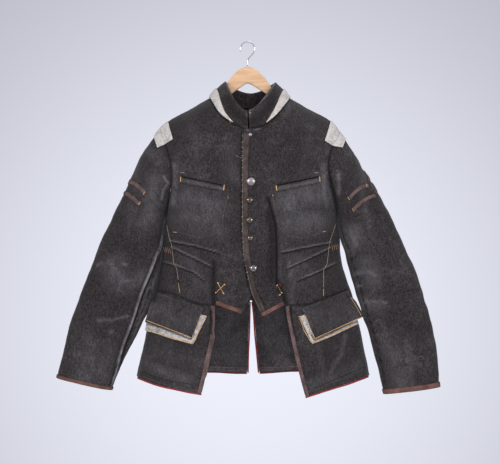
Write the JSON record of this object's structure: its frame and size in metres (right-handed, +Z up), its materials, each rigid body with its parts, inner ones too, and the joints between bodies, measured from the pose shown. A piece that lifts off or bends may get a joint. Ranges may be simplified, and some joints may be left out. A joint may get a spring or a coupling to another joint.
{
  "type": "military jacket on a hanger",
  "caption": "Short military-style denim jacket with a stand collar, buttoned front, hip flaps, open skirts and taped trim, hanging on a wooden hanger.",
  "frame": {"origin": "seat of the hanger's hook, where it rests on a rail", "axes": "+X to the wearer's left, across the sleeves; +Y from the front to the back; +Z up"},
  "size_m": [0.9128, 0.1556, 0.8466],
  "materials": {
    "denim": "heavy twill, washed and worn",
    "tape": "woven tape, matt",
    "canvas": "unbleached canvas, frayed",
    "piping": "corded edging, matt",
    "button": "silvered dome, worn",
    "wood": "pale, satin varnish",
    "steel": "polished wire"
  },
  "bodies": {
    "root": {"back_left": "denim", "back_piping_left": "piping", "back_piping_right": "piping", "back_right": "denim", "button_1": "button", "button_2": "button", "button_3": "button", "button_4": "button", "button_5": "button", "button_6": "button", "chest_welt_left": "denim", "chest_welt_right": "denim", "chevron_left_1_back": "tape", "chevron_left_1_front": "tape", "chevron_left_2_back": "tape", "chevron_left_2_front": "tape", "chevron_right_1_back": "tape", "chevron_right_1_front": "tape", "chevron_right_2_back": "tape", "chevron_right_2_front": "tape", "collar": "denim", "collar_stand": "canvas", "cuff_tape_left": "tape", "cuff_tape_right": "tape", "front_left": "denim", "front_right": "denim", "hanger": "wood", "hip_flap_left": "denim", "hip_flap_right": "denim", "hook": "steel", "placket_strip": "tape", "shoulder_patch_left": "canvas", "shoulder_patch_right": "canvas", "skirt_left": "denim", "skirt_piping_left": "piping", "skirt_piping_right": "piping", "skirt_right": "denim", "skirt_strip_left": "tape", "skirt_strip_right": "tape", "sleeve_under_left": "denim", "sleeve_under_right": "denim", "sleeve_upper_left": "denim", "sleeve_upper_right": "denim", "tail_strip_left": "tape", "tail_strip_right": "tape", "under_flap_left": "canvas", "under_flap_right": "canvas", "vent_piping_left": "piping", "vent_piping_right": "piping"}
  },
  "joints": []
}
